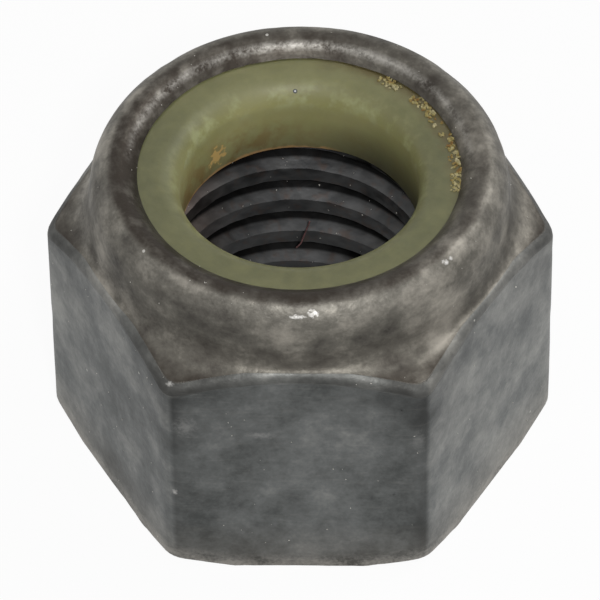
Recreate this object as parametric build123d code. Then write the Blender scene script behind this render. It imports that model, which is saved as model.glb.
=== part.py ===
from build123d import *
from math import cos, radians, sin, tan
import os

# Hexagon lock nut for a 1/2-13 bolt, with a nylon ring held under a crimped steel collar.
# Millimetres. The origin is the centre of the bearing face, and +Z runs up the thread's
# axis to the collar. Two flats face -Y and +Y, so two of the corners lie on X.

# Thread
thread_major = 12.70
thread_depth = 0.93  # crest to root, so the hole is drilled to 10.84
countersink_margin = 0.35  # the countersink opens this far outside the roots
countersink_angle = 45.0  # from the axis
thread_end_chamfer = 0.50  # where the thread runs out into the ring's groove

# Hexagon
across_flats = 19.05
edge_rounding = 0.93  # the six upright edges, as forged
wrench_height = 12.05  # height of a flat at its middle
crown_angle = 35.0  # slope of the cone that trims the upper corners
bearing_overrun = 0.30  # the bearing circle passes the flats, so only the corners are cut
bearing_chamfer_angle = 27.0

# Collar, crimped in over the ring
collar_inset = 0.40  # step in from the flats
collar_straight = 1.57  # height of the wall between the crown and the roll
collar_draft = 6.4  # lean of that wall
collar_wall = 1.10
shoulder_radius = 2.05  # outside of the roll, up to the slope below
crest_radius = 0.70  # top of the roll
lip_slope = 45.0  # how steeply the roll rises to its crest, and falls inside it
lip_overlap = 0.96  # how far the lip covers the ring
lip_edge_bevel = 0.08  # underside of the lip's edge, where it bears on the ring
lip_corner_bevel = 0.65  # corner of the groove under the lip

# Nylon ring
ring_height = 3.70
ring_overhang = 0.32  # the bore stands this far inside the thread's crests
ring_mouth_radius = 0.70  # top of the bore
ring_entry_chamfer = 0.10  # bottom of the bore
ring_clearance = 0.03  # round the ring in its groove
ring_corner_clearance = 0.15  # between the bevels of the ring and of the groove under the lip

# Radii and heights that follow
flat_radius = across_flats / 2
blank_radius = flat_radius / cos(radians(30)) + 1.0  # clear of the corners
hole_radius = thread_major / 2 - thread_depth
countersink_radius = thread_major / 2 + countersink_margin
countersink_depth = (countersink_radius - hole_radius) / tan(radians(countersink_angle))
bearing_radius = flat_radius + bearing_overrun

draft = radians(collar_draft)
slope = radians(lip_slope)
collar_base_radius = flat_radius - collar_inset
crown_top = wrench_height + collar_inset * tan(radians(crown_angle))
roll_start = crown_top + collar_straight
collar_top_radius = collar_base_radius - collar_straight * tan(draft)
groove_radius = collar_top_radius - collar_wall

shoulder_top = roll_start + shoulder_radius * (cos(slope) - sin(draft))
shoulder_top_radius = collar_top_radius - shoulder_radius * (cos(draft) - sin(slope))
crest_inner_radius = shoulder_top_radius - 2 * crest_radius * sin(slope)
nut_height = shoulder_top + crest_radius * (1 - cos(slope))
lip_radius = groove_radius - lip_overlap
lip_edge_height = shoulder_top - (crest_inner_radius - lip_radius) * tan(slope)
ring_top = lip_edge_height - lip_edge_bevel
groove_floor = ring_top - ring_height


def hexagon_blank():
    """The forged bar: a hexagon with rounded upright edges, as tall as the whole nut."""
    with BuildPart() as blank:
        with BuildSketch():
            hexagon = RegularPolygon(flat_radius, side_count=6, major_radius=False)
            fillet(hexagon.vertices(), edge_rounding)
        extrude(amount=nut_height)
    return blank.part


def turned_form():
    """What the lathe and the crimping tool leave: faces, crown, collar, lip, groove and hole."""
    chamfer_top = (blank_radius - bearing_radius) * tan(radians(bearing_chamfer_angle))
    crown_foot = wrench_height - (blank_radius - flat_radius) * tan(radians(crown_angle))
    with BuildPart() as form:
        with BuildSketch(Plane.XZ):
            with BuildLine():
                outside = Polyline(
                    (hole_radius, countersink_depth),
                    (countersink_radius, 0),
                    (bearing_radius, 0),
                    (blank_radius, chamfer_top),
                    (blank_radius, crown_foot),
                    (collar_base_radius, crown_top),
                    (collar_top_radius, roll_start),
                )
                shoulder = JernArc(
                    outside @ 1, outside % 1, shoulder_radius, 90 - lip_slope - collar_draft
                )
                crest = JernArc(shoulder @ 1, shoulder % 1, crest_radius, 2 * lip_slope)
                Polyline(
                    crest @ 1,
                    (lip_radius, lip_edge_height),
                    (lip_radius + lip_edge_bevel, ring_top),
                    (groove_radius - lip_corner_bevel, ring_top),
                    (groove_radius, ring_top - lip_corner_bevel),
                    (groove_radius, groove_floor),
                    (hole_radius + thread_end_chamfer, groove_floor),
                    (hole_radius, groove_floor - thread_end_chamfer),
                    (hole_radius, countersink_depth),
                )
            make_face()
        revolve(axis=Axis.Z)
    return form.part


def nylon_ring():
    """The locking ring, seated on the groove's floor and pressed under the lip."""
    bore_radius = hole_radius - ring_overhang
    outer_radius = groove_radius - ring_clearance
    width = outer_radius - bore_radius
    with BuildPart() as ring:
        with BuildSketch(Plane.XZ):
            with Locations((bore_radius, groove_floor)):
                Rectangle(width, ring_height, align=(Align.MIN, Align.MIN))
            entry = vertices().sort_by_distance((bore_radius, groove_floor))[0]
            chamfer(entry, ring_entry_chamfer)
            mouth = vertices().sort_by_distance((bore_radius, ring_top))[0]
            fillet(mouth, min(ring_mouth_radius, 0.4 * width))
            edge = vertices().sort_by_distance((outer_radius, ring_top))[0]
            chamfer(edge, lip_corner_bevel + ring_corner_clearance)
        revolve(axis=Axis.Z)
    return ring.part


nut_body = hexagon_blank() & turned_form()
nylon_insert = nylon_ring()

os.makedirs("parts", exist_ok=True)
export_step(nut_body, "parts/nut_body.step")
export_step(nylon_insert, "parts/nylon_insert.step")
print(f"nut height {nut_height:.2f}, groove floor {groove_floor:.2f}, ring top {ring_top:.2f}")
print(f"hole radius {hole_radius:.2f}, lip radius {lip_radius:.2f}, groove radius {groove_radius:.2f}")
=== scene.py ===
from math import cos, degrees, hypot, pi, radians, sin, sqrt, tan

import bmesh
import bpy
from mathutils import Matrix, Vector, noise


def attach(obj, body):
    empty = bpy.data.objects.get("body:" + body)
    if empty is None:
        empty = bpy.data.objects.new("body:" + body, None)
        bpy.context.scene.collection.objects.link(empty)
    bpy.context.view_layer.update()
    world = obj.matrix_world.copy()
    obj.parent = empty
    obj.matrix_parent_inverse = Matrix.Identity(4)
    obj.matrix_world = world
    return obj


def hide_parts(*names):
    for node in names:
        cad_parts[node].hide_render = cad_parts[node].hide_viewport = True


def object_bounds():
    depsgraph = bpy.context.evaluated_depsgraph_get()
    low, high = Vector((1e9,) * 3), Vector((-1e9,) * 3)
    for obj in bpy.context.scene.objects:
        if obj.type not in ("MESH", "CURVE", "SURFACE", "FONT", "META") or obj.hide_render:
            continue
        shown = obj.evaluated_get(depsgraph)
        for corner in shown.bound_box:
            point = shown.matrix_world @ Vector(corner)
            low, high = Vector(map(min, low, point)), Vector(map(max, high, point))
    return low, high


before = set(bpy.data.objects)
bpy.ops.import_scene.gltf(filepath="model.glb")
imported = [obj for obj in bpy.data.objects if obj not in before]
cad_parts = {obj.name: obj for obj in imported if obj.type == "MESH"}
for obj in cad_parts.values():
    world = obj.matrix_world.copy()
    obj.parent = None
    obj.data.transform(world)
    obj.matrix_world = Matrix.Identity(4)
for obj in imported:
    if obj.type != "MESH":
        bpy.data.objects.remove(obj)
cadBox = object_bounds()
scene = bpy.context.scene
scene.view_settings.view_transform = "Standard"
mm = 0.001


def linearHex(code):
    channels = [int(code[i:i + 2], 16) / 255 for i in (0, 2, 4)]
    return (*[c / 12.92 if c <= 0.04045 else ((c + 0.055) / 1.055) ** 2.4 for c in channels], 1.0)


def addNode(tree, kind, inputs=None, stops=(), **settings):
    # an input takes a plain value, a hex colour, a socket, or a node, whose first live output is used
    made = tree.nodes.new(kind)
    for name, value in settings.items():
        setattr(made, name, value)
    for key, value in (inputs or {}).items():
        if isinstance(value, bpy.types.Node):
            value = next(s for s in value.outputs if s.enabled)
        if isinstance(value, bpy.types.NodeSocket):
            tree.links.new(value, made.inputs[key])
        else:
            made.inputs[key].default_value = linearHex(value) if isinstance(value, str) else value
    if stops:  # a ramp's places and colours
        elements = made.color_ramp.elements
        while len(elements) < len(stops):
            elements.new(0.5)
        for element, (place, code) in zip(elements, stops):
            element.position = place
            element.color = linearHex(code)
    return made


def newMaterial(name):
    made = bpy.data.materials.new(name)
    made.use_nodes = True
    made.node_tree.nodes.clear()
    return made, made.node_tree


def endMaterial(tree, look, height, inputs):
    bump = addNode(tree, "ShaderNodeBump", {
        "Height": height, "Strength": look["bumpStrength"], "Distance": look["bumpDepth"] * mm})
    surface = addNode(tree, "ShaderNodeBsdfPrincipled", {**inputs, "Normal": bump})
    addNode(tree, "ShaderNodeOutputMaterial", {"Surface": surface})


def linkNew(name, mesh):
    made = bpy.data.objects.new(name, mesh)
    scene.collection.objects.link(made)
    return made


def startTree(name, floats=(), integers=(), geometry=True):
    tree = bpy.data.node_groups.new(name, "GeometryNodeTree")
    sockets = [("Geometry", "OUTPUT", "Geometry")] + [("Geometry", "INPUT", "Geometry")] * geometry
    sockets += [(label, "INPUT", "Float") for label in floats] + [(label, "INPUT", "Int") for label in integers]
    sockets.append(("Material", "INPUT", "Material"))
    for label, side, kind in sockets:
        tree.interface.new_socket(name=label, in_out=side, socket_type="NodeSocket" + kind)
    return tree, addNode(tree, "NodeGroupInput").outputs


def endTree(tree, geometry, material):
    real = addNode(tree, "GeometryNodeRealizeInstances", {"Geometry": geometry})
    dressed = addNode(tree, "GeometryNodeSetMaterial", {"Geometry": real, "Material": material})
    addNode(tree, "NodeGroupOutput", {0: dressed})


def bakeNodes(piece, tree, values):
    # runs a node tree on the piece and keeps its result as a plain mesh
    modifier = piece.modifiers.new(tree.name, "NODES")
    modifier.node_group = tree
    for socket in tree.interface.items_tree:
        if socket.name in values:
            modifier[socket.identifier] = values[socket.name]
    graph = bpy.context.evaluated_depsgraph_get()
    result = bpy.data.meshes.new_from_object(piece.evaluated_get(graph), depsgraph=graph)
    piece.modifiers.clear()
    piece.data = result
    return piece


camera = {  # mm and degrees
    "azimuth": 1.4418, "elevation": 46.7426, "roll": -0.8002, "distance": 266.83, "lens": 369.76,
    "centre": (0, 0, 7.62), "aim": (-0.04, 0, 6.69)}


def placeCamera():
    turn, lift, roll = (radians(camera[k]) for k in ("azimuth", "elevation", "roll"))
    outward = Vector((sin(turn) * cos(lift), -cos(turn) * cos(lift), sin(lift)))
    eye = Vector(camera["centre"]) + outward * camera["distance"]
    back = (eye - Vector(camera["aim"])).normalized()
    right = Vector((0, 0, 1)).cross(back).normalized()
    up = back.cross(right)
    across = right * cos(roll) + up * sin(roll)
    over = up * cos(roll) - right * sin(roll)
    data = bpy.data.cameras.new("camera")
    data.lens = camera["lens"]
    data.sensor_width = 36
    data.sensor_fit = "HORIZONTAL"
    data.clip_start = 0.01
    made = linkNew("camera", data)
    made.matrix_world = Matrix((
        (across.x, over.x, back.x, eye.x * mm),
        (across.y, over.y, back.y, eye.y * mm),
        (across.z, over.z, back.z, eye.z * mm),
        (0, 0, 0, 1)))
    scene.camera = made


placeCamera()
print("camera placed")


def roundTheAxis(tree, squeeze):
    # coordinates in which a noise smears round the nut: arc along XY, as if 9 mm out, height and radius squeezed
    place = addNode(tree, "ShaderNodeTexCoord").outputs["Object"]
    flat = addNode(tree, "ShaderNodeVectorMath", {0: place, 1: (1, 1, 0)}, operation="MULTIPLY")
    unit = addNode(tree, "ShaderNodeVectorMath", {0: flat}, operation="NORMALIZE")
    arc = addNode(tree, "ShaderNodeVectorMath", {0: unit, 1: (9 * mm, 9 * mm, 0)}, operation="MULTIPLY")
    rise = addNode(tree, "ShaderNodeVectorMath", {0: place, 1: (0, 0, squeeze)}, operation="MULTIPLY")
    around = addNode(tree, "ShaderNodeVectorMath", {0: arc, 1: rise}, operation="ADD")
    radius = addNode(tree, "ShaderNodeVectorMath", {0: flat}, operation="LENGTH").outputs["Value"]
    return place, around, addNode(tree, "ShaderNodeMath", {0: radius, 1: squeeze}, operation="MULTIPLY")


# In the looks below, noise scales count to the metre, with the size of a grain noted. A span tells where a share
# starts and where it is full, in metres for a place, and then its least and its most.
steelLook = {
    "squeeze": 1.5,
    "clouds": 340,  # 3 mm
    "smears": 720,  # 1.4 by 0.7 mm
    "grains": 2400,  # 0.4 by 0.3 mm
    "grit": 7000,  # 0.14 mm
    "scores": 800, "scoreDraw": (1, 1, 7),  # level scratches, 1.2 by 0.2 mm
    "specks": 800,  # one speck to 1.2 mm at most
    "speckRadius": 0.055, "emptyCells": 0.62, "speckStrength": 0.75,  # radius in cells, share without a speck
    "drag": 0.70, "turnedDrag": 0.45,  # how much the smears show on a flat, and how much more on turned parts
    "weights": (1.25, 0.28, 0.24), "level": 0.45,  # clouds, grains and grit in the film's tone
    "gritInPatches": 0.55, "oilShine": 0.04,
    "knockRags": 2.6, "knockRim": 2.5, "knockCore": 0.5, "knockGrowth": 1.3,  # in half lengths of a knock
    "spans": {
        "tone": (0.98, 1.79, 0, 1), "blotch": (0.35, 0.62, 1.25, 0.72), "broken": (0.61, 0.92, 0, 1),
        "faint": (0.56, 0.74, 0, 0.07), "foot": (0, 0.003, 0.25, 0)},
    "coolFilm": [(0, "525453"), (0.5, "757776"), (1, "9d9d99")],  # on the flats
    "warmFilm": [(0, "4b4844"), (0.45, "6c6962"), (1, "a09b91")],  # where the lathe ran
    "coolSootShade": "434443", "warmSootShade": "3b3631", "wornAndSheen": "b3b0aa",
    "tan": "706557", "dust": "c4c2bc", "bareAndGlint": "e0deda",
    "darkRoughness": 0.56, "paleRoughness": 0.46, "bumpStrength": 0.30, "bumpDepth": 0.14}

# bare and pale spots, the first four on the crest painted glints where the lamp's highlight falls: place, half
# length along X, half width, in mm, and strength
knocksAndGlints = [
    (0.10, -8.62, 14.84, 0.34, 0.09, 0.85), (0.74, -8.55, 14.96, 0.26, 0.15, 0.85),
    (6.14, -5.64, 15.06, 0.20, 0.10, 0.8), (6.38, -5.40, 15.05, 0.12, 0.08, 0.8),
    (-5.26, -9.52, 4.8, 0.14, 0.16, 0.65), (-5.34, -9.16, 11.3, 0.17, 0.10, 0.55),
    (-4.7, -9.52, 9.0, 0.45, 0.55, 0.22), (-1.6, -9.52, 8.5, 0.62, 0.20, 0.25), (5.1, -9.4, 8.2, 0.3, 0.6, 0.15)]


def blackOxideSteel():
    # hot-blackened forged steel, years old: soft metal gloss, smeared grey film, rubbed edges, dark oil on the roll;
    # painted light and shade on each side, painted shade in the fillet, on the crown's edge and on the roll, painted
    # highlights on the crest and the lip's back
    look = steelLook
    made, tree = newMaterial("black oxide forged steel")
    place, around, reach = roundTheAxis(tree, look["squeeze"])
    height = addNode(tree, "ShaderNodeSeparateXYZ", {0: place}).outputs["Z"]
    rubbedAndSheen, grimeAndShade, turned, paintedLight = (
        addNode(tree, "ShaderNodeAttribute", attribute_name=name).outputs["Fac"]
        for name in ("rubbedAndSheen", "grimeAndShade", "turned", "paintedLight"))

    # smears run round the turned parts and level on the flats
    depth = addNode(tree, "ShaderNodeMath", {0: reach, 1: turned}, operation="MULTIPLY")
    spot = addNode(tree, "ShaderNodeMix", {"Factor": turned, 4: place, 5: around}, data_type="VECTOR").outputs[1]
    drawn = addNode(tree, "ShaderNodeVectorMath", {0: place, 1: look["scoreDraw"]}, operation="MULTIPLY")
    clouds = addNode(tree, "ShaderNodeTexNoise", {
        "Vector": place, "Scale": look["clouds"], "Detail": 6, "Roughness": 0.58})
    smears = addNode(tree, "ShaderNodeTexNoise", {
        "Vector": spot, "W": depth, "Scale": look["smears"], "Detail": 4, "Roughness": 0.6}, noise_dimensions="4D")
    grains = addNode(tree, "ShaderNodeTexNoise", {
        "Vector": spot, "W": depth, "Scale": look["grains"], "Detail": 2, "Roughness": 0.5}, noise_dimensions="4D")
    grit = addNode(tree, "ShaderNodeTexNoise", {
        "Vector": place, "Scale": look["grit"], "Detail": 2, "Roughness": 0.6})
    scores = addNode(tree, "ShaderNodeTexNoise", {"Vector": drawn, "Scale": look["scores"], "Detail": 3})
    drag = addNode(tree, "ShaderNodeMath", {
        0: turned, 1: look["turnedDrag"], 2: look["drag"]}, operation="MULTIPLY_ADD")
    centred = addNode(tree, "ShaderNodeMath", {0: smears, 1: 0.5}, operation="SUBTRACT")
    mottle = addNode(tree, "ShaderNodeMath", {0: centred, 1: drag, 2: look["level"]}, operation="MULTIPLY_ADD")
    for layer, weight in zip((clouds, grains, grit), look["weights"]):
        mottle = addNode(tree, "ShaderNodeMath", {0: layer, 1: weight, 2: mottle}, operation="MULTIPLY_ADD")
    # painted light and shade for each side, added to the film's tone
    shaded = addNode(tree, "ShaderNodeMath", {0: mottle, 1: paintedLight}, operation="ADD")
    patchy = addNode(tree, "ShaderNodeMath", {
        0: grit, 1: look["gritInPatches"], 2: smears}, operation="MULTIPLY_ADD")
    shares = {}
    sources = {"tone": shaded, "blotch": smears, "broken": patchy, "faint": scores, "foot": height}
    for name, source in sources.items():
        start, full, least, most = look["spans"][name]
        shares[name] = addNode(tree, "ShaderNodeMapRange", {
            "Value": source, "From Min": start, "From Max": full, "To Min": least, "To Max": most})

    # the grey film, and the oil and soot caked on it; the same dark colour is also painted shade where the attribute
    # darkens the fillet, the crown's edge and the roll
    cool, warm = (
        addNode(tree, "ShaderNodeValToRGB", {0: shares["tone"]}, look[name]) for name in ("coolFilm", "warmFilm"))
    film = addNode(tree, "ShaderNodeMix", {"Factor": turned, 6: cool, 7: warm}, data_type="RGBA").outputs[2]
    sootAndShade = addNode(tree, "ShaderNodeMix", {
        "Factor": turned, 6: look["coolSootShade"], 7: look["warmSootShade"]}, data_type="RGBA").outputs[2]
    darkened = addNode(tree, "ShaderNodeMath", {
        0: grimeAndShade, 1: shares["blotch"]}, operation="MULTIPLY", use_clamp=True)

    # rubbed edges in patches, with the painted highlights on the lip and the fillet in the same pale colour, and
    # fine level scratches on the flats
    edges = addNode(tree, "ShaderNodeMath", {0: rubbedAndSheen, 1: shares["broken"]}, operation="MULTIPLY")
    onFlat = addNode(tree, "ShaderNodeMath", {0: 1.0, 1: turned}, operation="SUBTRACT")
    scratched = addNode(tree, "ShaderNodeMath", {0: shares["faint"], 1: onFlat}, operation="MULTIPLY")
    wornAndSheen = addNode(tree, "ShaderNodeMath", {0: edges, 1: scratched}, operation="MAXIMUM")

    # specks of dust in some of the cells
    cells = addNode(tree, "ShaderNodeTexVoronoi", {"Vector": place, "Scale": look["specks"], "Randomness": 1.0})
    pick = addNode(tree, "ShaderNodeSeparateColor", {0: cells.outputs["Color"]}).outputs[0]
    near = addNode(tree, "ShaderNodeMath", {
        0: cells.outputs["Distance"], 1: look["speckRadius"]}, operation="LESS_THAN")
    chosen = addNode(tree, "ShaderNodeMath", {0: pick, 1: look["emptyCells"]}, operation="GREATER_THAN")
    speck = addNode(tree, "ShaderNodeMath", {0: near, 1: chosen}, operation="MULTIPLY")
    dusted = addNode(tree, "ShaderNodeMath", {0: speck, 1: look["speckStrength"]}, operation="MULTIPLY")

    # the knocks and the painted glints, with ragged rims
    bareAndGlint = 0.0
    for x, y, z, length, width, strength in knocksAndGlints:
        middle = (x * mm, y * mm, z * mm)
        size = (1 / (length * mm), 1 / (width * mm), 1 / (width * mm))
        offset = addNode(tree, "ShaderNodeVectorMath", {0: place, 1: middle}, operation="SUBTRACT")
        scaled = addNode(tree, "ShaderNodeVectorMath", {0: offset, 1: size}, operation="MULTIPLY")
        away = addNode(tree, "ShaderNodeVectorMath", {0: scaled}, operation="LENGTH").outputs["Value"]
        ragged = addNode(tree, "ShaderNodeMath", {0: grit, 1: look["knockRags"], 2: away}, operation="MULTIPLY_ADD")
        core = look["knockCore"] + look["knockGrowth"] * strength
        struck = addNode(tree, "ShaderNodeMapRange", {
            "Value": ragged, "From Min": look["knockRim"], "From Max": core, "To Max": strength})
        bareAndGlint = addNode(tree, "ShaderNodeMath", {0: bareAndGlint, 1: struck}, operation="MAXIMUM")

    colour = film
    for share, over in (
            (darkened, sootAndShade), (wornAndSheen, look["wornAndSheen"]), (shares["foot"], look["tan"]),
            (dusted, look["dust"]), (bareAndGlint, look["bareAndGlint"])):
        colour = addNode(tree, "ShaderNodeMix", {"Factor": share, 6: colour, 7: over}, data_type="RGBA").outputs[2]
    dry = addNode(tree, "ShaderNodeMapRange", {
        "Value": shares["tone"], "To Min": look["darkRoughness"], "To Max": look["paleRoughness"]})
    oiled = addNode(tree, "ShaderNodeMath", {0: grimeAndShade, 1: -look["oilShine"], 2: dry}, operation="MULTIPLY_ADD")
    endMaterial(tree, look, mottle, {"Base Color": colour, "Metallic": 1.0, "Roughness": oiled})
    return made


threadLook = {
    "squeeze": 2.5,
    "streaks": 600,  # 1.7 by 0.7 mm
    "grains": 2200,  # 0.45 mm
    "spans": {
        "tints": (0.52, 0.70, 0, 0.6), "left": (-0.003, -0.0052, 0, 0.75), "aboveMouth": (0.0009, 0.0013, 0, 1),
        "underRing": (0.0100, 0.0103, 0, 0.92), "root": (0.0148, 0.01505, 0, 0.92)},  # root: squeeze times radius
    "tone": [(0.3, "434445"), (0.7, "5a5a5a")], "rust": "564a44", "paintedShadow": "191919",
    "roughness": 0.42, "bumpStrength": 0.25, "bumpDepth": 0.06}


def oiledThreadSteel():
    # the cut thread keeps its dark oil: near black, a dull sheen on the flanks, rust tints here and there, and
    # painted shadow in the roots and under the ring
    look = threadLook
    made, tree = newMaterial("oiled cut thread steel")
    place, around, reach = roundTheAxis(tree, look["squeeze"])
    x, y, z = addNode(tree, "ShaderNodeSeparateXYZ", {0: place}).outputs
    streaks = addNode(tree, "ShaderNodeTexNoise", {
        "Vector": around, "W": reach, "Scale": look["streaks"], "Detail": 3}, noise_dimensions="4D")
    grains = addNode(tree, "ShaderNodeTexNoise", {"Vector": place, "Scale": look["grains"], "Detail": 3})
    shares = {}
    for name, source in {"tints": grains, "left": x, "aboveMouth": z, "underRing": z, "root": reach}.items():
        start, full, least, most = look["spans"][name]
        shares[name] = addNode(tree, "ShaderNodeMapRange", {
            "Value": source, "From Min": start, "From Max": full, "To Min": least, "To Max": most})
    rust = addNode(tree, "ShaderNodeMath", {0: shares["tints"], 1: shares["left"]}, operation="MAXIMUM")
    # painted shadow: the roots above the mouth, and a band under the ring
    root = addNode(tree, "ShaderNodeMath", {0: shares["root"], 1: shares["aboveMouth"]}, operation="MULTIPLY")
    paintedShadow = addNode(tree, "ShaderNodeMath", {0: root, 1: shares["underRing"]}, operation="MAXIMUM")
    colour = addNode(tree, "ShaderNodeValToRGB", {0: streaks}, look["tone"])
    for share, over in ((rust, look["rust"]), (paintedShadow, look["paintedShadow"])):
        colour = addNode(tree, "ShaderNodeMix", {"Factor": share, 6: colour, 7: over}, data_type="RGBA").outputs[2]
    endMaterial(tree, look, grains, {"Base Color": colour, "Metallic": 1.0, "Roughness": look["roughness"]})
    return made


nylonLook = {
    "squeeze": 1.6,
    "clouds": 300,  # 3.3 mm
    "smears": 800,  # 1.2 mm
    "speckles": 1500,  # 0.7 mm
    "crumbs": 3500,  # 0.3 mm
    "body": [(0.3, "a19f6c"), (0.7, "b3b07d")],
    "layers": [  # colour, and the shares that are multiplied to place it
        ("60613f", "top", "uneven", "wiped"),  # dirty film on the top, wiped thinner at the back
        ("63532f", "right", "lip"),  # painted shadow along the lip, at the back right
        ("bcc195", "edge", "sheenPatches"),  # painted highlight on the mouth's rounded edge, broken into patches
        ("957139", "deep", "runs", "left"),  # brown stains down the bore
        ("2c3021", "rightShade", "deep"),  # painted shade down the bore at the right
        ("4b482d", "foot"),  # shadow at the foot
        ("bd9160", "brink", "middle"),  # rust off the thread
        ("d8b673", "crust"),  # a crust of ochre
        ("22262c", "pit"), ("e6e8ea", "grain")],  # a pinhole with a grain in it
    "spans": {
        "top": (0.0136, 0.0145, 0, 1), "uneven": (0.3, 0.7, 0.98, 0.78), "wiped": (0.002, 0.0062, 1, 0.72),
        "right": (0.004, 0.006, 0, 1), "lip": (0.01085, 0.0119, 0, 0.72), "edge": (0.0007, 0.0001, 0, 1),
        "sheenPatches": (0.48, 0.64, 0, 0.62), "deep": (0.0134, 0.0109, 0, 1), "runs": (0.42, 0.60, 0, 1),
        "left": (0.001, -0.0025, 0.25, 1), "rightShade": (0.0002, 0.0034, 0, 0.9), "foot": (0.0128, 0.011, 0, 0.62),
        "brink": (0.0113, 0.01121, 0, 0.85), "middle": (0.0018, 0.0008, 0, 1), "crust": (0.00134, 0.00116, 0, 0.9)},
    "edgeHeight": 13.8, "crustPlace": (-3.64, 3.57, 11.88), "holePlace": (-0.26, 5.36, 14.14),  # mm
    "pitRadius": 0.10, "grainRadius": 0.04, "lipRags": 2.2, "brinkRags": 0.4, "crustRags": 1.8,  # mm
    "roughness": 0.5, "bumpStrength": 0.25, "bumpDepth": 0.12, "milky": 0.5, "lightReach": 0.8}


def mouldedNylon():
    # nylon 6 ring, aged olive: waxy, light passes a little way in, brown oil stains down the bore; painted shade at
    # the right and along the lip, a painted highlight on the mouth's edge
    look = nylonLook
    made, tree = newMaterial("moulded nylon 6")
    place, around, reach = roundTheAxis(tree, look["squeeze"])
    x, y, z = addNode(tree, "ShaderNodeSeparateXYZ", {0: place}).outputs
    clouds = addNode(tree, "ShaderNodeTexNoise", {
        "Vector": place, "Scale": look["clouds"], "Detail": 3, "Roughness": 0.5})
    smears = addNode(tree, "ShaderNodeTexNoise", {
        "Vector": around, "W": reach, "Scale": look["smears"], "Detail": 3, "Roughness": 0.6}, noise_dimensions="4D")
    speckles = addNode(tree, "ShaderNodeTexNoise", {"Vector": place, "Scale": look["speckles"], "Detail": 3})
    crumbs = addNode(tree, "ShaderNodeTexNoise", {"Vector": place, "Scale": look["crumbs"], "Detail": 2})

    # ragged measures of where a point lies
    backRight = addNode(tree, "ShaderNodeVectorMath", {0: place, 1: (0.8, 0.6, 0)}, operation="DOT_PRODUCT")
    outward = addNode(tree, "ShaderNodeMath", {
        0: speckles, 1: look["lipRags"] * mm, 2: reach}, operation="MULTIPLY_ADD")
    overEdge = addNode(tree, "ShaderNodeMath", {0: z, 1: look["edgeHeight"] * mm}, operation="SUBTRACT")
    fromEdge = addNode(tree, "ShaderNodeMath", {0: overEdge}, operation="ABSOLUTE")
    wavy = addNode(tree, "ShaderNodeMath", {
        0: smears, 1: look["brinkRags"] * mm, 2: z}, operation="MULTIPLY_ADD")
    toCrust, toHole = (
        addNode(tree, "ShaderNodeVectorMath", {0: place, 1: [v * mm for v in look[name]]}, operation="DISTANCE")
        for name in ("crustPlace", "holePlace"))
    crumbly = addNode(tree, "ShaderNodeMath", {
        0: crumbs, 1: look["crustRags"] * mm, 2: toCrust.outputs["Value"]}, operation="MULTIPLY_ADD")
    shares = {}
    for name in ("pit", "grain"):
        shares[name] = addNode(tree, "ShaderNodeMath", {
            0: toHole.outputs["Value"], 1: look[name + "Radius"] * mm}, operation="LESS_THAN")
    sources = {
        "top": z, "uneven": smears, "wiped": y, "right": backRight.outputs["Value"], "lip": outward,
        "edge": fromEdge, "sheenPatches": smears, "deep": z, "runs": smears, "left": x, "rightShade": x, "foot": z,
        "brink": wavy, "middle": x, "crust": crumbly}
    for name, source in sources.items():
        start, full, least, most = look["spans"][name]
        shares[name] = addNode(tree, "ShaderNodeMapRange", {
            "Value": source, "From Min": start, "From Max": full, "To Min": least, "To Max": most})

    colour = addNode(tree, "ShaderNodeValToRGB", {0: clouds}, look["body"])
    for over, first, *others in look["layers"]:
        share = shares[first]
        for name in others:
            share = addNode(tree, "ShaderNodeMath", {0: share, 1: shares[name]}, operation="MULTIPLY")
        colour = addNode(tree, "ShaderNodeMix", {"Factor": share, 6: colour, 7: over}, data_type="RGBA").outputs[2]
    endMaterial(tree, look, smears, {
        "Base Color": colour, "Roughness": look["roughness"], "IOR": 1.53,
        "Subsurface Weight": look["milky"], "Subsurface Radius": (1.0, 0.95, 0.5),
        "Subsurface Scale": look["lightReach"] * mm})
    return made


def looseGrit(name, pale, middle, dark):
    # dry dust and rubbed-off flakes: flat, chalky, no gloss
    made, tree = newMaterial(name)
    place = addNode(tree, "ShaderNodeTexCoord").outputs["Object"]
    change = addNode(tree, "ShaderNodeTexNoise", {"Vector": place, "Scale": 2600})  # 0.4 mm
    tone = addNode(tree, "ShaderNodeValToRGB", {0: change}, [(0.35, dark), (0.5, middle), (0.65, pale)])
    surface = addNode(tree, "ShaderNodeBsdfPrincipled", {"Base Color": tone, "Roughness": 0.9})
    addNode(tree, "ShaderNodeOutputMaterial", {"Surface": surface})
    return made


steel = blackOxideSteel()
threadSteel = oiledThreadSteel()
nylon = mouldedNylon()
dust = looseGrit("dry dust", "d6d3cb", "c2bfb7", "a5a29b")
crumb = looseGrit("nylon shavings", "c1b891", "a3965f", "8c6c3c")
lint = looseGrit("red cotton lint", "86605f", "745150", "5e4442")
print("materials made")


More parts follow.
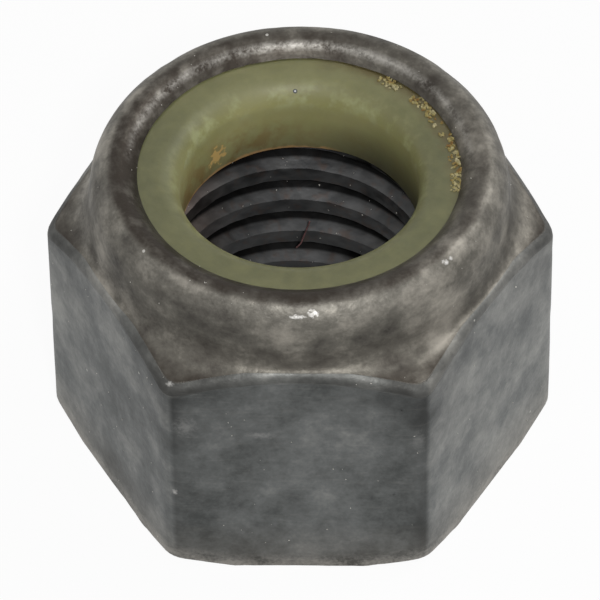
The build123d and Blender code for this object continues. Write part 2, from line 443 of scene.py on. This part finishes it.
nut = {  # mm and degrees
    "halfFlats": 9.525, "edgeRadius": 0.93, "wrenchHeight": 12.05, "crownAngle": 35.0, "crownEdge": 0.36,
    "bearingRadius": 9.825, "bearingAngle": 27.0, "footEdge": 0.14, "footBlend": 0.2, "collarFillet": 0.68,
    "midFlat": 6.0,
    "collarBase": (9.125, 12.33), "rollStart": (8.949, 13.90), "draft": 6.4, "shoulderRadius": 2.05,
    "crestRadius": 0.70, "lipSlope": 45.0, "crestEnd": 120.0,
    "lipRadius": 6.89, "lipEdge": 14.64, "lipBevel": 0.08, "lipCorner": 0.65,
    "grooveRadius": 7.85, "grooveFloor": 10.86, "ringTop": 14.56,
    "columns": 288, "faceRows": 4, "footRows": 8, "flatRows": 14, "crownEdgeRows": 7, "crownRows": 9,
    "filletRows": 6, "collarRows": 3, "shoulderRows": 8, "crestRows": 12, "lipRows": 6, "underRows": 5,
    "dent": 0.05, "dentScale": 0.45, "fineDentScale": 1.9, "fineDentShare": 0.35, "slump": 0.6, "slumpFrom": 0.3,
    # painted light and shade, one tone per flat
    "faceLights": (0.03, -0.05, 0.06, 0.06, -0.09, 0.12),  # one value per flat, from +X round
    "edgeBands": (0.1, 0.3, 0.1, 0.0, 0.55, 0.0), "edgeBandWidth": 4.6}  # darker down the sides of each flat

hole = {
    "pitch": 1.954, "radius": 5.42, "depth": 0.93, "mouth": 6.70, "runOut": 5.92, "lead": 0.79,
    "rowsPerTurn": 22, "turns": 7, "crestRows": 8, "flankRows": 6,
    "wear": 0.15, "wearFade": 1500.0,  # full wear 0.7 mm from either end
    "chipScale": 7.0, "chipRise": 180.0}  # chips 0.8 mm long


def wallRadius(angle):
    # hexagon with rounded upright edges, two flats across Y
    offset = (angle - pi / 2 + pi / 6) % (pi / 3) - pi / 6
    inner = (nut["halfFlats"] - nut["edgeRadius"]) / cos(pi / 6)
    fromEdge = pi / 6 - abs(offset)
    reach = inner * sin(fromEdge)
    if reach < nut["edgeRadius"] / 2:
        return inner * cos(fromEdge) + sqrt(nut["edgeRadius"] ** 2 - reach ** 2)
    return nut["halfFlats"] / cos(offset)


def threadRadius(angle, height):
    turn = angle / (2 * pi)
    phase = (height / hole["pitch"] - turn - hole["lead"]) % 1.0
    share = (abs(phase - 0.5) * hole["rowsPerTurn"] - hole["crestRows"] / 2) / hole["flankRows"]
    return hole["radius"] + hole["depth"] * min(max(share, 0.0), 1.0)


def along(start, end, count):
    # points on a straight run, without its start
    return [tuple(s + (e - s) * i / count for s, e in zip(start, end)) for i in range(1, count + 1)]


def curved(start, corner, end, count):
    # points on a curve drawn towards its corner, with both ends
    points = []
    for i in range(count + 1):
        t = i / count
        weights = (1 - t) ** 2, 2 * t * (1 - t), t * t
        ends = zip(start, corner, end)
        points.append(tuple(weights[0] * s + weights[1] * c + weights[2] * e for s, c, e in ends))
    return points


def eased(before, corner, after, reach, count):
    # a soft corner, from reach before it to reach past it
    def towards(other):
        length = hypot(other[0] - corner[0], other[1] - corner[1])
        cut = min(reach, 0.45 * length) / max(length, 1e-9)
        return corner[0] + (other[0] - corner[0]) * cut, corner[1] + (other[1] - corner[1]) * cut
    return curved(towards(before), corner, towards(after), count)


def footRows(outer):
    # the bearing face's edge: a plain rounded edge on a flat, a turned cone at a corner
    edge, bearing = nut["footEdge"], nut["bearingRadius"]
    rise = max(0.0, outer - bearing) * tan(radians(nut["bearingAngle"]))
    count = nut["footRows"]
    leans = [pi / 2 * i / count for i in range(count + 1)]
    plain = [(outer - edge + edge * sin(lean), edge - edge * cos(lean)) for lean in leans]
    low, high = (min(outer, bearing), 0.0), (outer, rise)
    halfway = ((low[0] + high[0]) / 2, (low[1] + high[1]) / 2)
    turned = eased((hole["mouth"], 0), low, high, edge, count // 2 - 1) + [halfway]
    turned += eased(low, high, (outer, nut["midFlat"]), edge, count // 2 - 1)
    share = min(max((outer - bearing) / nut["footBlend"], 0.0), 1.0)
    return [(p[0] + (t[0] - p[0]) * share, p[1] + (t[1] - p[1]) * share) for p, t in zip(plain, turned)]


def nutSection(angle):
    # (radius, height, rubbed and sheen, grime and shade, turned) from the bearing face up and over the lip to the
    # groove's floor
    toRight, toBack = cos(angle), sin(angle)
    outer = wallRadius(angle)
    nearCorner = 0.5 + 0.5 * cos(6 * angle)
    wallTop = (outer, nut["wrenchHeight"] - (outer - nut["halfFlats"]) * tan(radians(nut["crownAngle"])))
    base, roll = nut["collarBase"], nut["rollStart"]

    # bearing face and foot
    faceEnd = (min(outer, nut["bearingRadius"]) - nut["footEdge"], 0)
    rows = [(hole["mouth"], 0, 0.2, 0.3, 0.4)]
    rows += [(r, z, 0, 0.1, 0.4) for r, z in along((hole["mouth"], 0), faceEnd, nut["faceRows"])]
    foot = footRows(outer)
    rows += [(r, z, 0.15 + 0.65 * (k > nut["footRows"] // 2), 0.0, 0.1) for k, (r, z) in enumerate(foot[1:])]

    # flat and crown, darker towards the top and the corners; painted shade on the crown's rounded edge against its
    # highlight
    inFace = degrees(angle) % 60
    fromUpright = min(inFace, 60 - inFace)
    edgeBand = nut["edgeBands"][int(degrees(angle) // 60)] * max(0.0, 1 - fromUpright / nut["edgeBandWidth"])
    crownEdge = eased((outer, nut["midFlat"]), wallTop, base, nut["crownEdge"], nut["crownEdgeRows"])
    topDarkening = 0.12 + 0.38 * nearCorner
    halfUp = nut["flatRows"] // 2
    rows += [(r, z, 0.0, edgeBand + topDarkening * max(0, k - halfUp) / (halfUp - 1), 0.0)
             for k, (r, z) in enumerate(along(foot[-1], crownEdge[0], nut["flatRows"]))]
    # painted shade: the crown's rounded edge darkened where it would catch the lamp
    rows += [(r, z, 0.0, 0.20 + 0.40 * nearCorner, 0.3) for r, z in crownEdge[1:]]
    fillet = eased(wallTop, base, roll, nut["collarFillet"], nut["filletRows"])
    rows += [(r, z, 0.0, max(0.1, (0.85 - 0.08 * k) * nearCorner), 1.0)
             for k, (r, z) in enumerate(along(crownEdge[-1], fillet[0], nut["crownRows"]))]

    # collar and shoulder; the fillet has a painted highlight along its left side and painted shade at the front,
    # where it caught the lamp
    filletHighlight, filletShade = 0.15 * max(0.0, -toRight) ** 3, 0.1 + 0.25 * max(0.0, -toBack)
    rows += [(r, z, filletHighlight, filletShade, 1.0) for r, z in fillet[1:]]
    rows += [(r, z, 0.0, 0.0, 1.0) for r, z in along(fillet[-1], roll, nut["collarRows"])]
    draft, slope, crestEnd = (radians(nut[name]) for name in ("draft", "lipSlope", "crestEnd"))
    big, small = nut["shoulderRadius"], nut["crestRadius"]
    centre = (roll[0] - big * cos(draft), roll[1] - big * sin(draft))
    for i in range(1, nut["shoulderRows"] + 1):
        share = i / nut["shoulderRows"]
        lean = draft + (slope - draft) * share
        rows.append((centre[0] + big * cos(lean), centre[1] + big * sin(lean), 0.08 * share, 0.0, 1.0))

    # crest and inner roll: oil all round and painted shade, darkest on the near side that turns from the lamps and
    # least on the right and the back, with a painted highlight along the back of the lip
    darkStart = 2.2 + 2.2 * toBack
    darkMost = 1.0 - 0.50 * max(0.0, toRight) - 0.25 * max(0.0, toBack)
    backHighlight = 0.62 * max(0.0, toBack) ** 0.5
    centre = (centre[0] + (big - small) * cos(slope), centre[1] + (big - small) * sin(slope))
    for i in range(1, nut["crestRows"] + 1):
        share = i / nut["crestRows"]
        lean = slope + (crestEnd - slope) * share
        grimeAndShade = darkMost * min(1.0, max(0.0, (i - darkStart) / 3.5))
        rows.append((centre[0] + small * cos(lean), centre[1] + small * sin(lean), 0.06 * (1 - share), grimeAndShade, 1.0))
    start, lipEdge = rows[-1][:2], (nut["lipRadius"], nut["lipEdge"])
    fall = hypot(lipEdge[0] - start[0], lipEdge[1] - start[1]) / 2
    middle = (start[0] - fall * sin(crestEnd), start[1] + fall * cos(crestEnd))
    rows += [(r, z, backHighlight * max(0.0, 1 - abs(i - 2) / 2), darkMost, 1.0)
             for i, (r, z) in enumerate(curved(start, middle, lipEdge, nut["lipRows"])) if i]

    # under the lip
    wall, top, floor, corner = (nut[name] for name in ("grooveRadius", "ringTop", "grooveFloor", "lipCorner"))
    inner = max(hole["runOut"], threadRadius(angle, floor))
    under = [(nut["lipRadius"] + nut["lipBevel"], top), (wall - corner, top)]
    under += [(wall, top - corner), (wall, floor), (inner, floor)]
    return rows + [(r, z, 0.0, 1.0, 1.0) for r, z in under]


def dentedOutside():
    # the outside as a grid of columns and rows, pushed in a little here and there, never out
    mesh = bpy.data.meshes.new("nutOutside")
    columns = nut["columns"]
    points = []
    marks = {"rubbedAndSheen": [], "grimeAndShade": [], "turned": [], "paintedLight": []}
    for i in range(columns):
        angle = 2 * pi * i / columns
        section = nutSection(angle)
        count = len(section)
        # painted light and shade: each flat and the collar are made lighter or darker by how the lamps fall on that
        # side, lighter at the right and the far corners, darker at the front, the collar lightest at the front right
        toFront, toFrontRight = max(0.0, -sin(angle)), max(0.0, cos(angle + pi / 4))
        faceLight = nut["faceLights"][int(degrees(angle) // 60)] + 0.10 * cos(angle) ** 4
        collarLight = 0.06 * cos(angle) ** 2 + 0.15 * toFrontRight ** 4 - 0.08 * toFront ** 4
        for j, (radius, height, rubbedAndSheen, grimeAndShade, turned) in enumerate(section):
            spot = Vector((radius * cos(angle), radius * sin(angle), height))
            broad, fine = (noise.noise(spot * nut[name]) for name in ("dentScale", "fineDentScale"))
            fixed = j == 0 or j >= count - nut["underRows"]  # the seam with the hole, and the groove
            push = 0.0 if fixed else nut["dent"] * max(0.0, broad + nut["fineDentShare"] * fine)
            lower = 0.0 if height < nut["slumpFrom"] else nut["slump"] * push
            dented = ((radius - push) * cos(angle) * mm, (radius - push) * sin(angle) * mm, (height - lower) * mm)
            points.append([min(max(value, low), high) for value, low, high in zip(dented, *cadBox)])
            paintedLight = faceLight * (1 - turned) + collarLight * turned
            for label, value in zip(marks, (rubbedAndSheen, grimeAndShade, turned, paintedLight)):
                marks[label].append(value)
    faces = [(i * count + j, (i + 1) % columns * count + j, (i + 1) % columns * count + j + 1, i * count + j + 1)
             for i in range(columns) for j in range(count - 1)]
    mesh.from_pydata(points, [], faces)
    for label, values in marks.items():
        mesh.attributes.new(label, "FLOAT", "POINT").data.foreach_set("value", values)
    mesh.materials.append(steel)
    return mesh


def threadTree():
    # a helical grid: each row climbs one pitch a turn, so the crests' edges lie on rows
    tree, given = startTree(
        "threadedHole", ("Pitch", "Hole Radius", "Thread Depth", "Height", "Mouth Radius", "Run Out Radius", "Lead",
                         "Crest Share", "Flank Share", "Wear"),
        ("Columns", "Rows", "Turns"), geometry=False)
    countX = addNode(tree, "ShaderNodeMath", {0: given["Columns"], 1: 1.0})
    countY = addNode(tree, "ShaderNodeMath", {0: given["Rows"], 1: 1.0})
    grid = addNode(tree, "GeometryNodeMeshGrid", {
        "Size X": 1.0, "Size Y": 1.0, "Vertices X": countX, "Vertices Y": countY})
    axes = addNode(tree, "ShaderNodeSeparateXYZ", {0: addNode(tree, "GeometryNodeInputPosition")})
    turn = addNode(tree, "ShaderNodeMath", {0: axes.outputs["X"], 1: 0.5})
    part = addNode(tree, "ShaderNodeMath", {0: axes.outputs["Y"], 1: 0.5})
    angle = addNode(tree, "ShaderNodeMath", {0: turn, 1: 2 * pi}, operation="MULTIPLY")
    cosine, sine = (addNode(tree, "ShaderNodeMath", {0: angle}, operation=name) for name in ("COSINE", "SINE"))

    # height, from two turns below the lead, so that the lowest row is under the face all round
    climb = addNode(tree, "ShaderNodeMath", {0: part, 1: given["Turns"], 2: turn}, operation="MULTIPLY_ADD")
    begin = addNode(tree, "ShaderNodeMath", {0: given["Lead"], 1: 2.0}, operation="SUBTRACT")
    steps = addNode(tree, "ShaderNodeMath", {0: climb, 1: begin})
    raw = addNode(tree, "ShaderNodeMath", {0: steps, 1: given["Pitch"]}, operation="MULTIPLY")
    atLeast = addNode(tree, "ShaderNodeMath", {0: raw, 1: 0.0}, operation="MAXIMUM")
    height = addNode(tree, "ShaderNodeMath", {0: atLeast, 1: given["Height"]}, operation="MINIMUM")

    # radius: crest, flank or root, or the countersink or run-out where that is wider
    turns = addNode(tree, "ShaderNodeMath", {0: height, 1: given["Pitch"]}, operation="DIVIDE")
    level = addNode(tree, "ShaderNodeMath", {0: turns, 1: turn}, operation="SUBTRACT")
    shifted = addNode(tree, "ShaderNodeMath", {0: level, 1: given["Lead"]}, operation="SUBTRACT")
    phase = addNode(tree, "ShaderNodeMath", {0: shifted}, operation="FRACT")
    offCrest = addNode(tree, "ShaderNodeMath", {0: phase, 1: 0.5}, operation="SUBTRACT")
    fromCrest = addNode(tree, "ShaderNodeMath", {0: offCrest}, operation="ABSOLUTE")
    crestHalf = addNode(tree, "ShaderNodeMath", {0: given["Crest Share"], 1: 0.5}, operation="MULTIPLY")
    pastCrest = addNode(tree, "ShaderNodeMath", {0: fromCrest, 1: crestHalf}, operation="SUBTRACT")
    share = addNode(tree, "ShaderNodeMath", {
        0: pastCrest, 1: given["Flank Share"]}, operation="DIVIDE", use_clamp=True)
    cut = addNode(tree, "ShaderNodeMath", {
        0: share, 1: given["Thread Depth"], 2: given["Hole Radius"]}, operation="MULTIPLY_ADD")
    below = addNode(tree, "ShaderNodeMath", {0: given["Height"], 1: height}, operation="SUBTRACT")
    sink = addNode(tree, "ShaderNodeMath", {0: given["Mouth Radius"], 1: height}, operation="SUBTRACT")
    runOut = addNode(tree, "ShaderNodeMath", {0: given["Run Out Radius"], 1: below}, operation="SUBTRACT")
    wide = addNode(tree, "ShaderNodeMath", {0: cut, 1: sink}, operation="MAXIMUM")
    clean = addNode(tree, "ShaderNodeMath", {0: wide, 1: runOut}, operation="MAXIMUM")

    # small chips, fading out at both ends
    toEnd = addNode(tree, "ShaderNodeMath", {0: height, 1: below}, operation="MINIMUM")
    inside = addNode(tree, "ShaderNodeMath", {
        0: toEnd, 1: hole["wearFade"]}, operation="MULTIPLY", use_clamp=True)
    rise = addNode(tree, "ShaderNodeMath", {0: height, 1: hole["chipRise"]}, operation="MULTIPLY")
    circle = addNode(tree, "ShaderNodeCombineXYZ", {0: cosine, 1: sine, 2: rise})
    chips = addNode(tree, "ShaderNodeTexNoise", {"Vector": circle, "Scale": hole["chipScale"], "Detail": 3.0})
    torn = addNode(tree, "ShaderNodeMath", {0: chips, 1: given["Wear"]}, operation="MULTIPLY")
    radius = addNode(tree, "ShaderNodeMath", {0: torn, 1: inside, 2: clean}, operation="MULTIPLY_ADD")
    x, y = (
        addNode(tree, "ShaderNodeMath", {0: radius, 1: side}, operation="MULTIPLY") for side in (cosine, sine))
    spot = addNode(tree, "ShaderNodeCombineXYZ", {0: x, 1: y, 2: height})
    wound = addNode(tree, "GeometryNodeSetPosition", {"Geometry": grid, "Position": spot})
    closed = addNode(tree, "GeometryNodeMergeByDistance", {"Geometry": wound, "Distance": 0.002 * mm})
    endTree(tree, closed, given["Material"])
    return tree


def smoothShape(shape, merge, sharpAngle):
    # welds doubles, faces outwards, smooth but for the sharp edges
    bmesh.ops.remove_doubles(shape, verts=shape.verts, dist=merge)
    bmesh.ops.recalc_face_normals(shape, faces=shape.faces)
    for face in shape.faces:
        face.smooth = True
    for edge in shape.edges:
        edge.smooth = len(edge.link_faces) == 2 and edge.calc_face_angle(0) < radians(sharpAngle)


def makeNut():
    outside = linkNew("lockNutBody", dentedOutside())
    bore = linkNew("threadedBore", bpy.data.meshes.new("threadedBore"))
    rows = hole["rowsPerTurn"]
    bakeNodes(bore, threadTree(), {
        "Pitch": hole["pitch"] * mm, "Hole Radius": hole["radius"] * mm, "Thread Depth": hole["depth"] * mm,
        "Height": nut["grooveFloor"] * mm, "Mouth Radius": hole["mouth"] * mm, "Run Out Radius": hole["runOut"] * mm,
        "Lead": hole["lead"], "Crest Share": hole["crestRows"] / rows, "Flank Share": hole["flankRows"] / rows,
        "Wear": hole["wear"] * mm, "Columns": nut["columns"], "Rows": rows * hole["turns"], "Turns": hole["turns"],
        "Material": threadSteel})
    shape = bmesh.new()
    shape.from_mesh(outside.data)
    outerFaces = len(shape.faces)
    shape.from_mesh(bore.data)
    shape.faces.ensure_lookup_table()
    for face in shape.faces[outerFaces:]:
        face.material_index = 1
    smoothShape(shape, 0.002 * mm, 34)
    openEdges = sum(1 for edge in shape.edges if len(edge.link_faces) != 2)
    shape.to_mesh(outside.data)
    shape.free()
    bpy.data.objects.remove(bore)
    outside.data.materials.append(threadSteel)
    print("nut made, faces", len(outside.data.polygons), "open edges", openEdges)
    return outside


nutBody = makeNut()
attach(nutBody, "root")
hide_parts("nut_body")


ring = {  # mm
    "bore": 5.10, "outer": 7.82, "top": 14.56, "floor": 10.86, "mouth": 0.70, "wornMouth": 1.15, "wornEase": 0.8,
    "entry": 0.10, "corner": 0.80, "held": 1.2,  # no sway or dip at the wall
    "sway": 0.05, "swayScale": 1.4, "swayRise": 0.35, "dip": 0.05, "dipScale": 3, "dipReach": 0.3,
    "columns": 240, "boreRows": 12, "mouthRows": 10, "topRows": 8, "cornerRows": 2, "wallRows": 3}


def makeRing():
    # the moulded washer, its bore a little uneven where it was pressed under the lip
    bore, outer, top, floor, entry, corner = (ring[k] for k in ("bore", "outer", "top", "floor", "entry", "corner"))
    columns, steps = ring["columns"], ring["mouthRows"]
    swayScale, swayRise, dipScale = (ring[k] for k in ("swayScale", "swayRise", "dipScale"))
    points = []
    for i in range(columns):
        angle = 2 * pi * i / columns
        mouth = ring["mouth"] + (ring["wornMouth"] - ring["mouth"]) * (0.5 + 0.5 * sin(angle)) ** ring["wornEase"]
        leans = [pi / 2 * k / steps for k in range(1, steps + 1)]
        section = [(bore + entry, floor), (bore, floor + entry)]
        section += along((bore, floor + entry), (bore, top - mouth), ring["boreRows"])
        section += [(bore + mouth - mouth * cos(lean), top - mouth + mouth * sin(lean)) for lean in leans]
        section += along((bore + mouth, top), (outer - corner, top), ring["topRows"])
        section += along((outer - corner, top), (outer, top - corner), ring["cornerRows"])
        section += along((outer, top - corner), (outer, floor), ring["wallRows"])
        section += along((outer, floor), (bore + entry, floor), ring["wallRows"])[:-1]
        count = len(section)
        for radius, height in section:
            free = min(1.0, max(0.0, (outer - radius) / ring["held"]))
            swaySpot = Vector((cos(angle) * swayScale, sin(angle) * swayScale, height * swayRise))
            dipSpot = Vector((cos(angle) * dipScale, sin(angle) * dipScale, radius))
            sway = ring["sway"] * noise.noise(swaySpot)
            dip = ring["dip"] * max(0.0, noise.noise(dipSpot)) * free
            reach = radius + abs(sway) * free
            level = height - dip if height > top - ring["dipReach"] else height
            points.append((reach * cos(angle) * mm, reach * sin(angle) * mm, level * mm))
    faces = [(i * count + j, (i + 1) % columns * count + j,
              (i + 1) % columns * count + (j + 1) % count, i * count + (j + 1) % count)
             for i in range(columns) for j in range(count)]
    mesh = bpy.data.meshes.new("nylonRing")
    mesh.from_pydata(points, [], faces)
    mesh.materials.append(nylon)
    shape = bmesh.new()
    shape.from_mesh(mesh)
    smoothShape(shape, 0.0001 * mm, 40)
    shape.to_mesh(mesh)
    shape.free()
    return linkNew("nylonRing", mesh)


nylonRing = makeRing()
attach(nylonRing, "root")
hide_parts("nylon_insert")
print("nylon ring made")


bits = {  # mm and degrees, but the grains' turn in radians
    "dustPerSquareMm": 0.18, "dustSize": 0.034, "dustSeed": 4, "holeRadius": 6.6, "extraInHole": 3.0,
    "leastStretch": (0.3, 0.3, 0.25), "mostStretch": (1.6, 1.2, 0.8), "mostTurn": (6.283, 6.283, 6.283),
    "shavings": 250, "shavingSize": 0.10, "shavingSeed": 11,
    "shavingGaps": 0.39, "gapScale": 900.0,  # gaps 1.1 mm long
    "edgeRadius": 6.80, "edgeHeight": 14.57, "edgeFrom": -8, "edgeSweep": 66,
    "scatterLow": (-0.34, -0.34, -0.03), "scatterHigh": (0.10, 0.10, 0.02)}


def rolledGrain(tree, points, size, seed):
    # one small faceted grain on each point, no two turned or sized alike
    grain = addNode(tree, "GeometryNodeMeshIcoSphere", {"Radius": size, "Subdivisions": 1})
    turn = addNode(tree, "FunctionNodeRandomValue", {
        0: (0, 0, 0), 1: bits["mostTurn"], "Seed": seed}, data_type="FLOAT_VECTOR")
    stretch = addNode(tree, "FunctionNodeRandomValue", {
        0: bits["leastStretch"], 1: bits["mostStretch"], "Seed": seed}, data_type="FLOAT_VECTOR")
    return addNode(tree, "GeometryNodeInstanceOnPoints", {
        "Points": points, "Instance": grain, "Rotation": turn, "Scale": stretch})


def dustTree():
    # settled dust, and more of it in the hole, where nothing wipes it off
    tree, given = startTree("settledDust", ("Density", "Size", "Hole Radius", "Extra In Hole"), ("Seed",))
    place = addNode(tree, "GeometryNodeInputPosition")
    flat = addNode(tree, "ShaderNodeVectorMath", {0: place, 1: (1, 1, 0)}, operation="MULTIPLY")
    fromAxis = addNode(tree, "ShaderNodeVectorMath", {0: flat}, operation="LENGTH").outputs["Value"]
    inHole = addNode(tree, "ShaderNodeMath", {0: fromAxis, 1: given["Hole Radius"]}, operation="LESS_THAN")
    share = addNode(tree, "ShaderNodeMath", {
        0: inHole, 1: given["Extra In Hole"], 2: 1.0}, operation="MULTIPLY_ADD")
    density = addNode(tree, "ShaderNodeMath", {0: share, 1: given["Density"]}, operation="MULTIPLY")
    points = addNode(tree, "GeometryNodeDistributePointsOnFaces", {
        "Mesh": given["Geometry"], "Density": density, "Seed": given["Seed"]})
    endTree(tree, rolledGrain(tree, points, given["Size"], given["Seed"]), given["Material"])
    return tree


def shavingsTree():
    # shavings lie along the ring's edge, where the lip bit into it
    tree, given = startTree(
        "edgeShavings", ("Radius", "Height", "Size", "Start", "Sweep", "Gaps"), ("Count", "Seed"), geometry=False)
    edge = addNode(tree, "GeometryNodeCurveArc", {
        "Radius": given["Radius"], "Start Angle": given["Start"], "Sweep Angle": given["Sweep"]})
    points = addNode(tree, "GeometryNodeCurveToPoints", {"Curve": edge, "Count": given["Count"]})
    low, high = ([v * mm for v in bits[name]] for name in ("scatterLow", "scatterHigh"))
    scatter = addNode(tree, "FunctionNodeRandomValue", {
        0: low, 1: high, "Seed": given["Seed"]}, data_type="FLOAT_VECTOR")
    lift = addNode(tree, "ShaderNodeCombineXYZ", {2: given["Height"]})
    offset = addNode(tree, "ShaderNodeVectorMath", {0: scatter, 1: lift}, operation="ADD")
    moved = addNode(tree, "GeometryNodeSetPosition", {"Geometry": points, "Offset": offset})
    clump = addNode(tree, "ShaderNodeTexNoise", {"Scale": bits["gapScale"]})
    empty = addNode(tree, "FunctionNodeCompare", {
        0: clump, 1: given["Gaps"]}, operation="LESS_THAN", data_type="FLOAT")
    left = addNode(tree, "GeometryNodeDeleteGeometry", {"Geometry": moved, "Selection": empty}, domain="POINT")
    endTree(tree, rolledGrain(tree, left, given["Size"], given["Seed"]), given["Material"])
    return tree


def makeBits():
    settled = bakeNodes(linkNew("settledDust", nutBody.data.copy()), dustTree(), {
        "Density": bits["dustPerSquareMm"] / mm ** 2, "Size": bits["dustSize"] * mm,
        "Hole Radius": bits["holeRadius"] * mm, "Extra In Hole": bits["extraInHole"],
        "Seed": bits["dustSeed"], "Material": dust})
    shavings = bakeNodes(linkNew("edgeShavings", bpy.data.meshes.new("edgeShavings")), shavingsTree(), {
        "Radius": bits["edgeRadius"] * mm, "Height": bits["edgeHeight"] * mm, "Size": bits["shavingSize"] * mm,
        "Start": radians(bits["edgeFrom"]), "Sweep": radians(bits["edgeSweep"]), "Gaps": bits["shavingGaps"],
        "Count": bits["shavings"], "Seed": bits["shavingSeed"], "Material": crumb})
    for piece, finish in ((settled, "blackened_steel"), (shavings, "nylon")):
        for vertex in piece.data.vertices:
            vertex.co = [min(max(value, low), high) for value, low, high in zip(vertex.co, *cadBox)]
        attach(piece, "root")
        print(piece.name, "made, faces", len(piece.data.polygons))


fibre = {"halfThickness": 0.035, "path": [  # mm
    (0.30, 5.33, 6.05), (0.22, 5.36, 5.75), (0.10, 5.38, 5.3),
    (-0.02, 5.37, 4.9), (-0.10, 5.36, 4.6), (-0.30, 5.38, 4.35)]}


def makeFibre():
    # a red thread of rag, caught across two crests
    curve = bpy.data.curves.new("ragFibre", "CURVE")
    curve.dimensions = "3D"
    curve.bevel_depth = fibre["halfThickness"] * mm
    curve.bevel_resolution = 2
    curve.use_fill_caps = True
    spline = curve.splines.new("NURBS")
    spline.points.add(len(fibre["path"]) - 1)
    for point, (x, y, z) in zip(spline.points, fibre["path"]):
        point.co = (x * mm, y * mm, z * mm, 1)
    spline.order_u = 3
    spline.use_endpoint_u = True
    shape = linkNew("ragFibreCurve", curve)
    graph = bpy.context.evaluated_depsgraph_get()
    mesh = bpy.data.meshes.new_from_object(shape.evaluated_get(graph), depsgraph=graph)
    bpy.data.objects.remove(shape)
    mesh.materials.clear()
    mesh.materials.append(lint)
    made = linkNew("ragFibre", mesh)
    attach(made, "root")


makeBits()
makeFibre()
print("dust, shavings and fibre made")


studio = {
    "floorSize": 1.2, "floorDrop": 0.02,  # in metres, and in mm
    "floorGlow": 0.95, "floorSheen": 0.35, "roomSide": (0.40, 0.75, 0.53), "roomSpan": (-0.6, 1.0, 0.12, 0.36)}


def makeStudio():
    mesh = bpy.data.meshes.new("floor")
    half, level = studio["floorSize"] / 2, studio["floorDrop"] * -mm
    corners = [(x, y, level) for x, y in ((-half, -half), (half, -half), (half, half), (-half, half))]
    mesh.from_pydata(corners, [], [(0, 1, 2, 3)])
    made, tree = newMaterial("matt white board")  # white to the camera, plain board to the nut's light
    rays = addNode(tree, "ShaderNodeLightPath").outputs
    mirrored = addNode(tree, "ShaderNodeMath", {
        0: rays["Is Glossy Ray"], 1: studio["floorSheen"]}, operation="MULTIPLY")
    share = addNode(tree, "ShaderNodeMath", {
        0: rays["Is Camera Ray"], 1: studio["floorGlow"], 2: mirrored}, operation="MULTIPLY_ADD")
    board = addNode(tree, "ShaderNodeBsdfDiffuse", {"Color": "f0f0f0"})
    glow = addNode(tree, "ShaderNodeEmission", {"Color": (1, 1, 1, 1), "Strength": 1.0})
    surface = addNode(tree, "ShaderNodeMixShader", {0: share, 1: board, 2: glow})
    addNode(tree, "ShaderNodeOutputMaterial", {"Surface": surface})
    mesh.materials.append(made)
    linkNew("floor", mesh)

    world = bpy.data.worlds.new("studio")
    scene.world = world
    world.use_nodes = True
    tree = world.node_tree
    tree.nodes.clear()
    rays = addNode(tree, "ShaderNodeLightPath").outputs
    seen = addNode(tree, "ShaderNodeMath", {
        0: rays["Is Camera Ray"], 1: rays["Is Glossy Ray"]}, operation="MAXIMUM")
    place = addNode(tree, "ShaderNodeTexCoord").outputs["Generated"]
    side = addNode(tree, "ShaderNodeVectorMath", {0: place, 1: studio["roomSide"]}, operation="DOT_PRODUCT")
    start, full, least, most = studio["roomSpan"]
    level = addNode(tree, "ShaderNodeMapRange", {
        "Value": side.outputs["Value"], "From Min": start, "From Max": full, "To Min": least, "To Max": most})
    room = addNode(tree, "ShaderNodeBackground", {"Color": (1, 1, 1, 1), "Strength": level})
    white = addNode(tree, "ShaderNodeBackground", {"Color": (1, 1, 1, 1), "Strength": 1.0})
    both = addNode(tree, "ShaderNodeMixShader", {0: seen, 1: room, 2: white})
    addNode(tree, "ShaderNodeOutputWorld", {"Surface": both})


lamps = {  # mm, and the power in watts
    "keyLamp": {"place": (25, -170, 190), "aim": (0, 0, 8), "size": 24, "power": 0.27},
    "sideLamp": {"place": (150, 60, 150), "aim": (0, 0, 8), "size": 120, "power": 0.11}}


def makeLamps():
    for name, lamp in lamps.items():
        data = bpy.data.lights.new(name, "AREA")
        data.shape = "DISK"
        data.size = lamp["size"] * mm
        data.energy = lamp["power"]
        made = linkNew(name, data)
        place = Vector(lamp["place"])
        facing = (place - Vector(lamp["aim"])).to_track_quat("Z", "Y")
        made.matrix_world = Matrix.Translation(place * mm) @ facing.to_matrix().to_4x4()


makeStudio()
makeLamps()
print("studio made")
